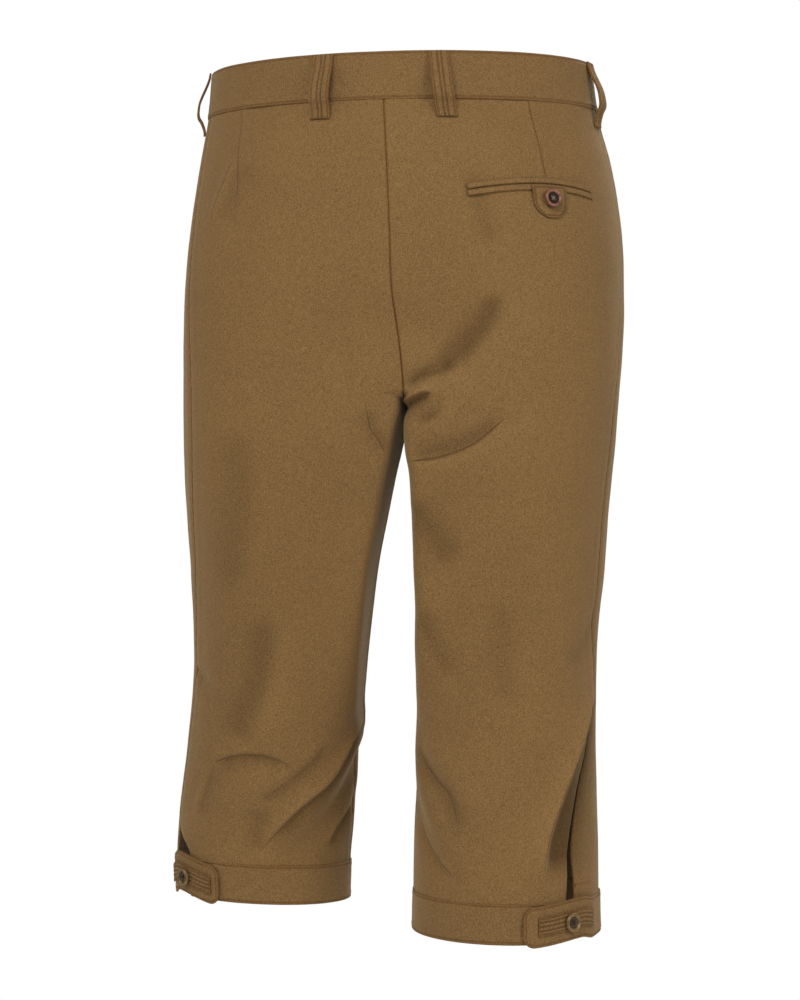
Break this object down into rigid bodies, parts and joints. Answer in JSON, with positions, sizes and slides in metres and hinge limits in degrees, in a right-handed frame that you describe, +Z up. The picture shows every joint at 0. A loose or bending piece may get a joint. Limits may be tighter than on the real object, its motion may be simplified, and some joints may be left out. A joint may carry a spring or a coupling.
{
  "type": "knee breeches",
  "caption": "Knee breeches in worn shape with no wearer: waistband with belt loops, flapless back pocket with a button tab, and buttoned knee bands.",
  "frame": {"origin": "middle of the waistband, half way between the middle front and the middle back, at half the band's height, where the wearer's waist holds the breeches up", "axes": "+Z up along the wearer's body, +Y to the wearer's back, +X to the wearer's left"},
  "size_m": [0.3819, 0.2598, 0.7182],
  "materials": {
    "moleskin_back_left": "khaki brown brushed cotton moleskin, matt with a short nap",
    "moleskin_back_right": "khaki brown brushed cotton moleskin, matt with a short nap",
    "moleskin_front_left": "khaki brown brushed cotton moleskin, matt with a short nap",
    "moleskin_front_right": "khaki brown brushed cotton moleskin, matt with a short nap",
    "moleskin_waistband": "khaki brown brushed cotton moleskin, matt with a short nap",
    "moleskin_fly_shield": "khaki brown brushed cotton moleskin, matt with a short nap",
    "moleskin_belt_loop_back_left": "khaki brown brushed cotton moleskin, matt with a short nap",
    "moleskin_belt_loop_back_right": "khaki brown brushed cotton moleskin, matt with a short nap",
    "moleskin_belt_loop_side_left": "khaki brown brushed cotton moleskin, matt with a short nap",
    "moleskin_belt_loop_side_right": "khaki brown brushed cotton moleskin, matt with a short nap",
    "moleskin_belt_loop_front_left": "khaki brown brushed cotton moleskin, matt with a short nap",
    "moleskin_belt_loop_front_right": "khaki brown brushed cotton moleskin, matt with a short nap",
    "moleskin_pocket_welt_upper": "khaki brown brushed cotton moleskin, matt with a short nap",
    "moleskin_pocket_welt_lower": "khaki brown brushed cotton moleskin, matt with a short nap",
    "moleskin_pocket_tab": "khaki brown brushed cotton moleskin, matt with a short nap",
    "moleskin_kneeband_left": "khaki brown brushed cotton moleskin, matt with a short nap",
    "moleskin_kneeband_right": "khaki brown brushed cotton moleskin, matt with a short nap",
    "moleskin_strap_patch_left": "khaki brown brushed cotton moleskin, matt with a short nap",
    "moleskin_strap_patch_right": "khaki brown brushed cotton moleskin, matt with a short nap",
    "button_horn": "polished reddish brown imitation horn",
    "button_brass": "aged brown brass rim, worn and half matt"
  },
  "bodies": {
    "root": {"back_left": "moleskin_back_left", "back_right": "moleskin_back_right", "front_left": "moleskin_front_left", "front_right": "moleskin_front_right", "waistband": "moleskin_waistband", "fly_shield": "moleskin_fly_shield", "belt_loop_back_left": "moleskin_belt_loop_back_left", "belt_loop_back_right": "moleskin_belt_loop_back_right", "belt_loop_side_left": "moleskin_belt_loop_side_left", "belt_loop_side_right": "moleskin_belt_loop_side_right", "belt_loop_front_left": "moleskin_belt_loop_front_left", "belt_loop_front_right": "moleskin_belt_loop_front_right", "pocket_welt_upper": "moleskin_pocket_welt_upper", "pocket_welt_lower": "moleskin_pocket_welt_lower", "pocket_tab": "moleskin_pocket_tab", "pocket_button": "button_horn", "kneeband_left": "moleskin_kneeband_left", "kneeband_right": "moleskin_kneeband_right", "strap_patch_left": "moleskin_strap_patch_left", "strap_patch_right": "moleskin_strap_patch_right", "strap_button_left": "button_brass", "strap_button_right": "button_brass", "waist_button": "button_horn"}
  },
  "joints": []
}
